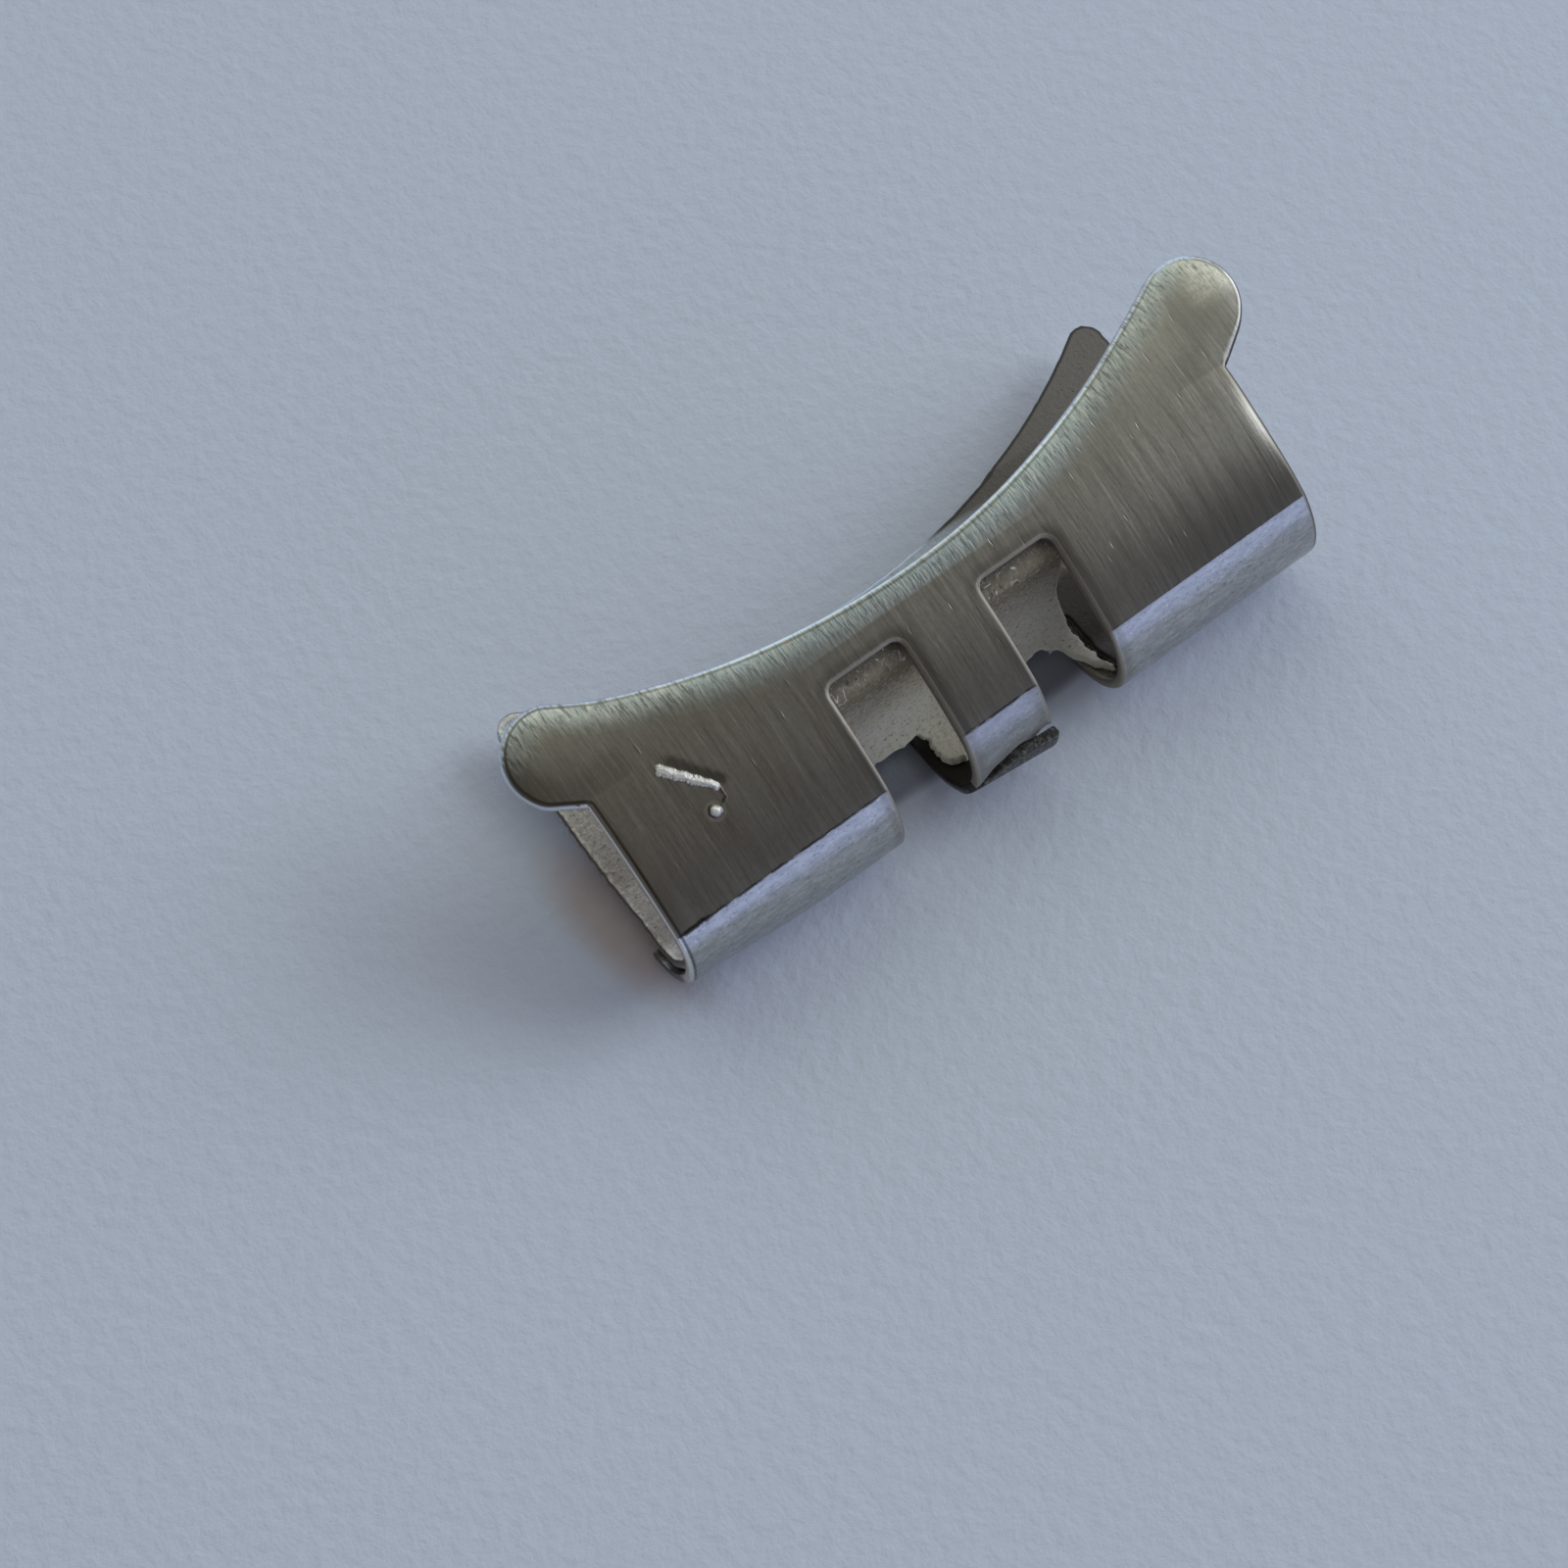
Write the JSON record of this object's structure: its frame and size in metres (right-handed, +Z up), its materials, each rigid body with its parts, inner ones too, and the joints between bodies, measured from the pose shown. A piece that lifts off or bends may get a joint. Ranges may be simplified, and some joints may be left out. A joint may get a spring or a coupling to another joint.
{
  "type": "watch bracelet end link",
  "caption": "Folded sheet-steel end link that fits a bracelet to a watch case: brushed curved cover with ears and knuckle slots over a base plate and a spring bar cradle.",
  "frame": {"origin": "on the spring bar's axis, halfway between the lugs", "axes": "+X along the spring bar, +Y towards the watch case, +Z up out of the brushed cover"},
  "size_m": [0.0206, 0.008, 0.005],
  "materials": {
    "brushed_cover": "satin brushed from front to rear, edges tumbled bright",
    "mill_base": "plain rolled sheet, dull, sheared edges",
    "mill_cradle": "plain rolled sheet, stained, bright at the bends"
  },
  "bodies": {
    "root": {"cover": "brushed_cover", "base_plate": "mill_base", "cradle": "mill_cradle"}
  },
  "joints": []
}
